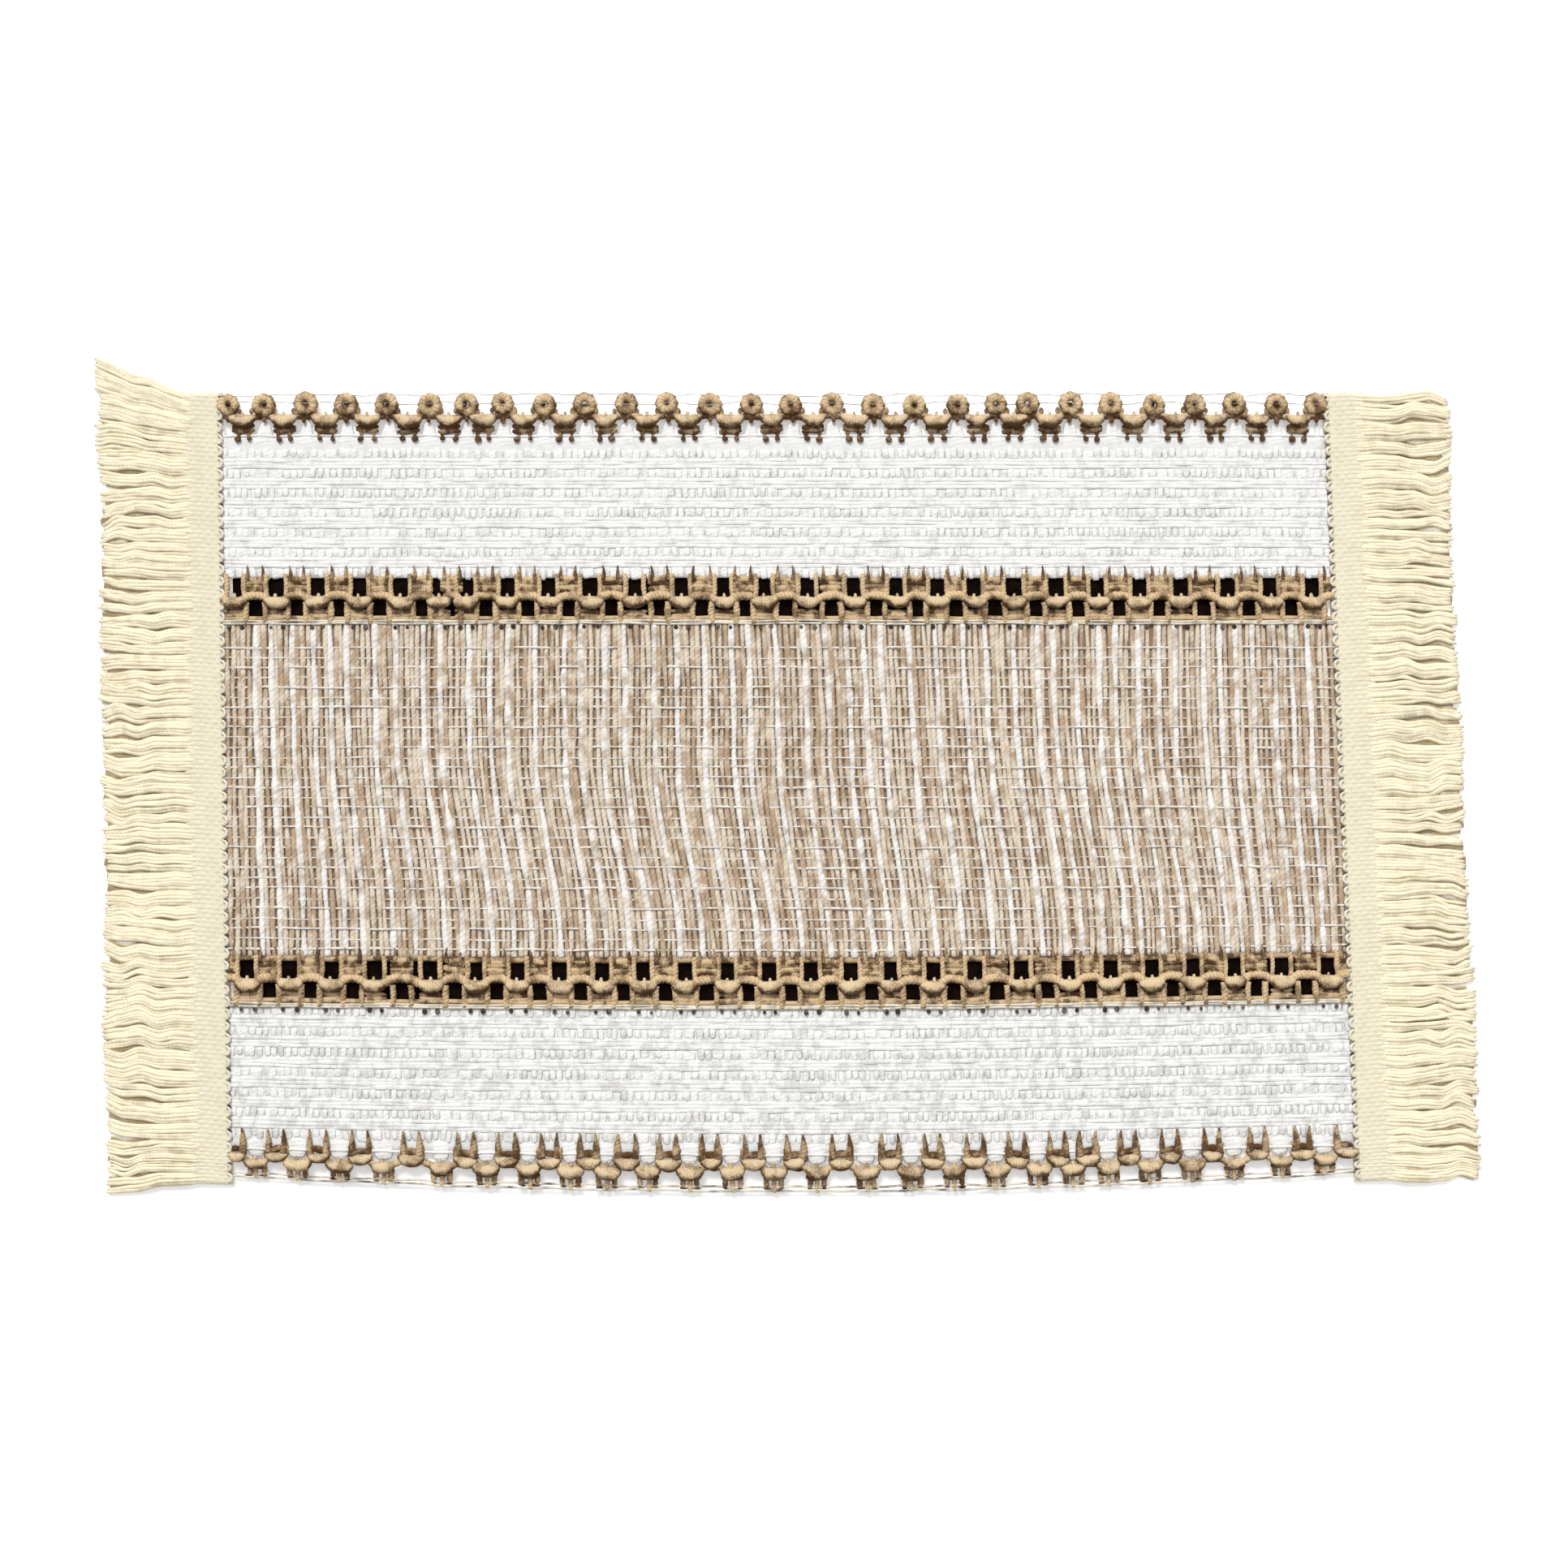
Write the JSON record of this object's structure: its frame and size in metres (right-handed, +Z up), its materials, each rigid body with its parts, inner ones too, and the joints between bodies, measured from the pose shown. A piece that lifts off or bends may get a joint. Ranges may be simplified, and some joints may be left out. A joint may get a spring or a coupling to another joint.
{
  "type": "woven bath mat",
  "caption": "Flat woven bath mat with a slub centre panel, white bands, brown openwork rows, lace edges and fringed ends.",
  "frame": {"origin": "centre of the footprint, on the surface that the mat lies on", "axes": "+X along the mat towards its right fringe, +Y towards its rear edge, +Z up"},
  "size_m": [0.856, 0.5, 0.0088],
  "materials": {
    "slub_cloth": "tan and white slub yarn cloth, matt",
    "white_cotton": "ribbed white cotton, matt",
    "brown_cord": "tan brown twisted cord",
    "brown_knot": "tan brown puffed yarn",
    "brown_fill": "darker brown fill yarn",
    "cream_tape": "cream woven tape",
    "cream_fringe": "cream cut fringe",
    "cream_thread": "cream sewing and binding thread",
    "backing_rubber": "thin dark non-slip sheet"
  },
  "bodies": {
    "mat": {"binding_thread_front": "cream_thread", "binding_thread_rear": "cream_thread", "centre_panel": "slub_cloth", "edge_cord_front": "brown_cord", "edge_cord_rear": "brown_cord", "edge_drops_front": "brown_knot", "edge_horns_front": "brown_cord", "edge_knots_front": "brown_knot", "edge_knots_rear": "brown_knot", "edge_posts_front": "brown_cord", "edge_posts_rear": "brown_cord", "edge_rings_rear": "brown_cord", "edge_stems_front": "brown_cord", "edge_thread_front": "cream_thread", "edge_threads_rear": "cream_thread", "heading_tape_left": "cream_tape", "heading_tape_right": "cream_tape", "nonslip_backing": "backing_rubber", "openwork_cord_front": "brown_cord", "openwork_cord_rear": "brown_cord", "openwork_knots_front": "brown_knot", "openwork_knots_rear": "brown_knot", "openwork_posts_front": "brown_cord", "openwork_posts_rear": "brown_cord", "openwork_webs_front": "brown_fill", "openwork_webs_rear": "brown_fill", "seam_stitches_left": "cream_thread", "seam_stitches_right": "cream_thread", "white_band_front": "white_cotton", "white_band_rear": "white_cotton"},
    "left_fringe": {"fringe_left": "cream_fringe"},
    "right_fringe": {"fringe_right": "cream_fringe"}
  },
  "joints": [
    {"name": "left_fringe_flop", "type": "hinge", "parent": "mat", "child": "left_fringe", "pos_m": [-0.3753, 0, 0.0043], "axis": [0, 1, 0], "range_deg": [0, 165]},
    {"name": "right_fringe_flop", "type": "hinge", "parent": "mat", "child": "right_fringe", "pos_m": [0.3753, 0, 0.0043], "axis": [0, -1, 0], "range_deg": [0, 165]}
  ]
}
